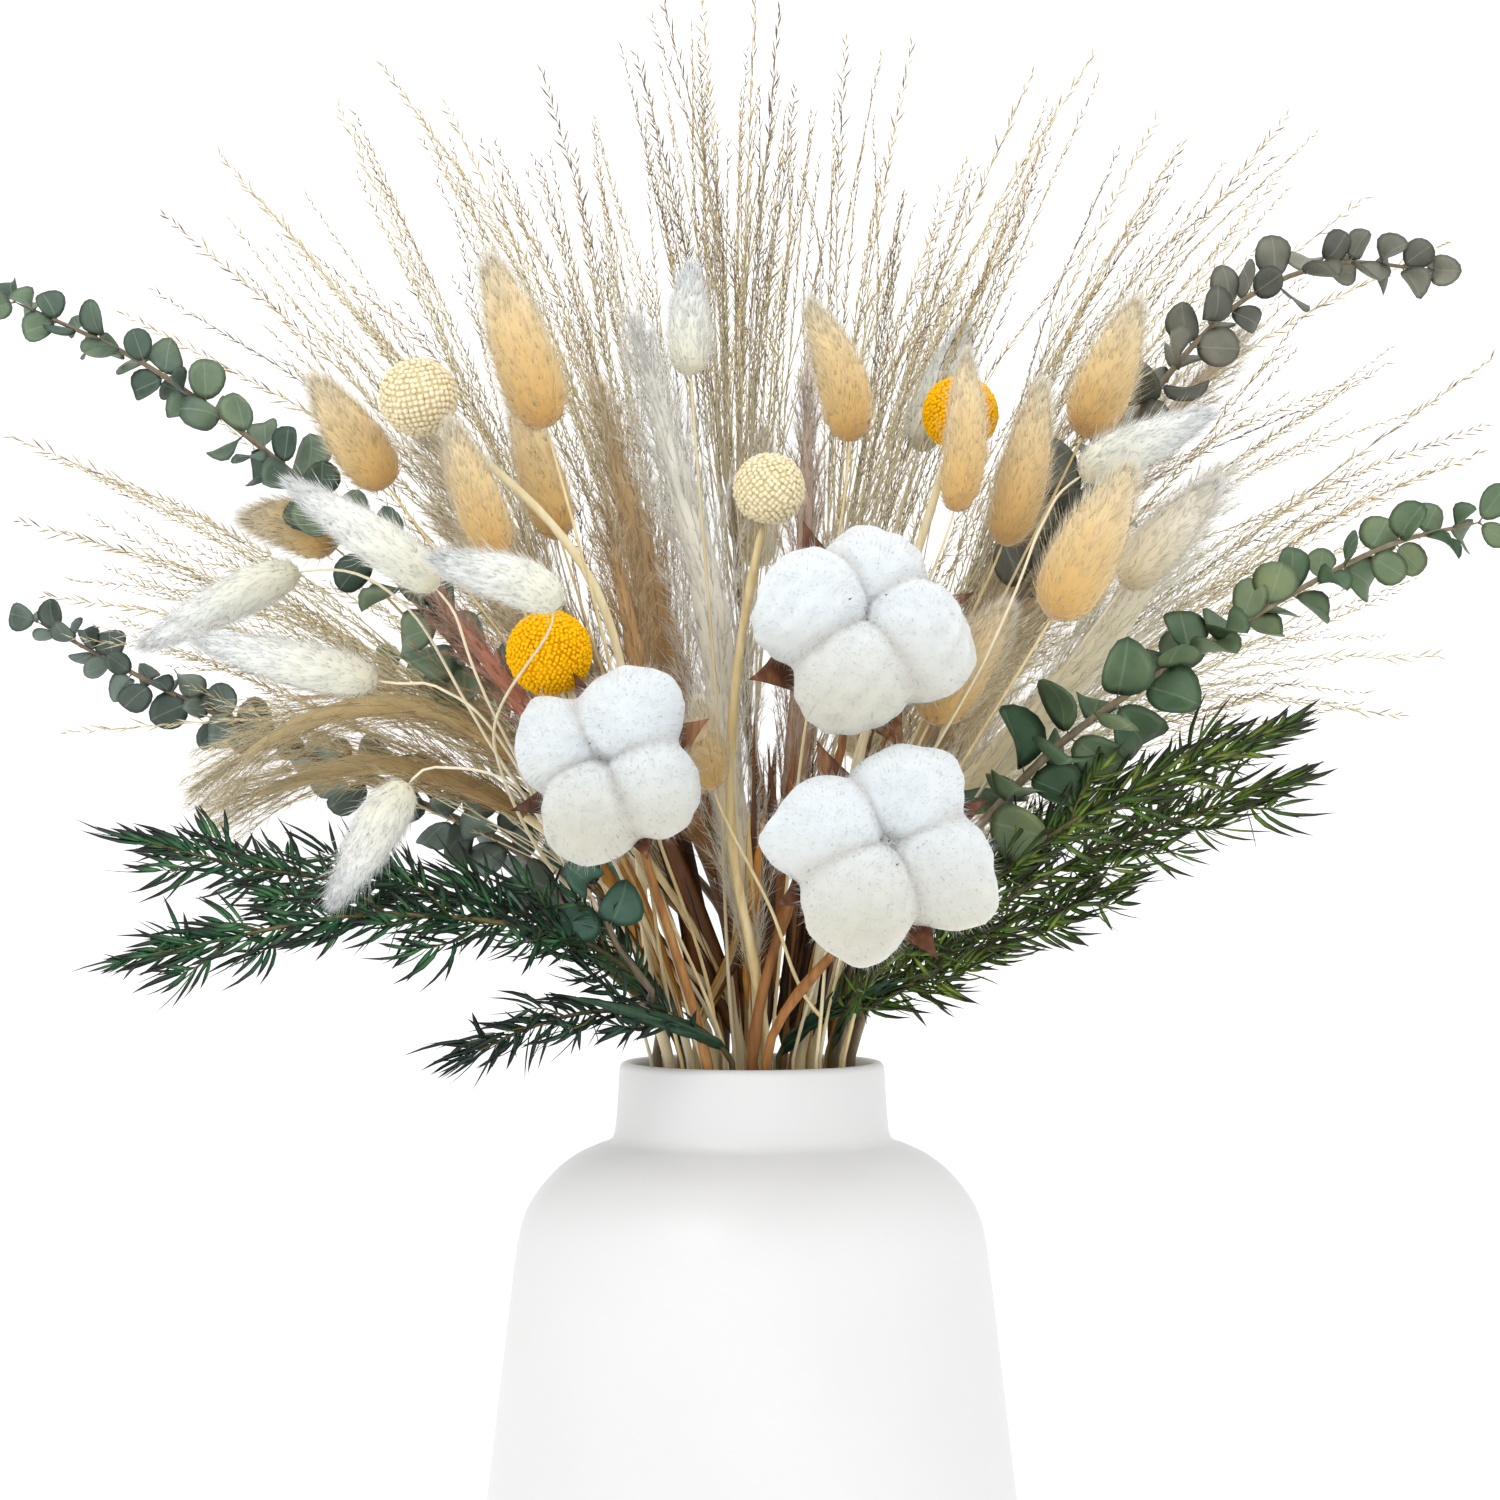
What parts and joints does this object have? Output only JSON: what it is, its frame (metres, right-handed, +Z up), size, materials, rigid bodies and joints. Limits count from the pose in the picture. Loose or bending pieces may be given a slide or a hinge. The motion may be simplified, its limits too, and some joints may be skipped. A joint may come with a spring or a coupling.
{
  "type": "dried flower bouquet in a vase",
  "caption": "Dried bouquet of bunny tails, cotton bolls, craspedia, plumes, eucalyptus, ferns and wispy grass standing in a white ceramic vase.",
  "frame": {"origin": "middle of the vase's flat foot, on the surface that it stands on", "axes": "+Z up; -Y is the bouquet's front, where the cotton bolls face; +X is to the right seen from the front"},
  "size_m": [0.5557, 0.3196, 0.6277],
  "materials": {
    "vase_ceramic": "satin",
    "cotton_lint": "matte fibre",
    "cotton_bur": "matte",
    "craspedia_cream": "matte",
    "craspedia_yellow": "matte",
    "straw_stem": "satin",
    "tail_tan": "soft fibre",
    "tail_white": "soft fibre",
    "plume_white": "soft fibre",
    "plume_cream": "soft fibre",
    "plume_rust": "soft fibre",
    "plume_tan": "soft fibre",
    "eucalyptus_leaf": "satin",
    "fern_leaf": "satin",
    "reed_straw": "matte"
  },
  "bodies": {
    "root": {"cotton_left_bur": "cotton_bur", "cotton_left_lint": "cotton_lint", "cotton_lower_bur": "cotton_bur", "cotton_lower_lint": "cotton_lint", "cotton_upper_bur": "cotton_bur", "cotton_upper_lint": "cotton_lint", "craspedia_cream_left": "craspedia_cream", "craspedia_cream_middle": "craspedia_cream", "craspedia_yellow_left": "craspedia_yellow", "craspedia_yellow_left_stem": "straw_stem", "craspedia_yellow_right": "craspedia_yellow", "craspedia_yellow_right_stem": "straw_stem", "eucalyptus_back": "eucalyptus_leaf", "eucalyptus_left_high": "eucalyptus_leaf", "eucalyptus_left_low": "eucalyptus_leaf", "eucalyptus_right_high": "eucalyptus_leaf", "eucalyptus_right_low": "eucalyptus_leaf", "fern_back": "fern_leaf", "fern_left": "fern_leaf", "fern_left_rim": "fern_leaf", "fern_right": "fern_leaf", "fern_right_rim": "fern_leaf", "plume_back_left": "plume_tan", "plume_back_right": "plume_tan", "plume_beige_left": "plume_tan", "plume_beige_right": "plume_tan", "plume_brown_left": "plume_tan", "plume_cream_right": "plume_cream", "plume_drooping_left": "plume_tan", "plume_rose": "plume_tan", "plume_rust_left": "plume_rust", "plume_tan_left": "plume_tan", "plume_white": "plume_white", "reed_back_left": "reed_straw", "reed_back_right": "reed_straw", "reed_left": "reed_straw", "reed_left_high": "reed_straw", "reed_right": "reed_straw", "reed_right_high": "reed_straw", "reed_top": "reed_straw", "reed_top_left": "reed_straw", "reed_top_right": "reed_straw", "tail_tan_back_left": "tail_tan", "tail_tan_back_right": "tail_tan", "tail_tan_inner_left": "tail_tan", "tail_tan_inner_right": "tail_tan", "tail_tan_left": "tail_tan", "tail_tan_low_right": "tail_tan", "tail_tan_middle": "tail_tan", "tail_tan_right": "tail_tan", "tail_tan_slim": "tail_tan", "tail_tan_tall_left": "tail_tan", "tail_tan_tall_right": "tail_tan", "tail_white_back": "tail_white", "tail_white_far_left": "tail_white", "tail_white_hanging": "tail_white", "tail_white_left": "tail_white", "tail_white_middle": "tail_white", "tail_white_right": "tail_white", "vase": "vase_ceramic"}
  },
  "joints": []
}
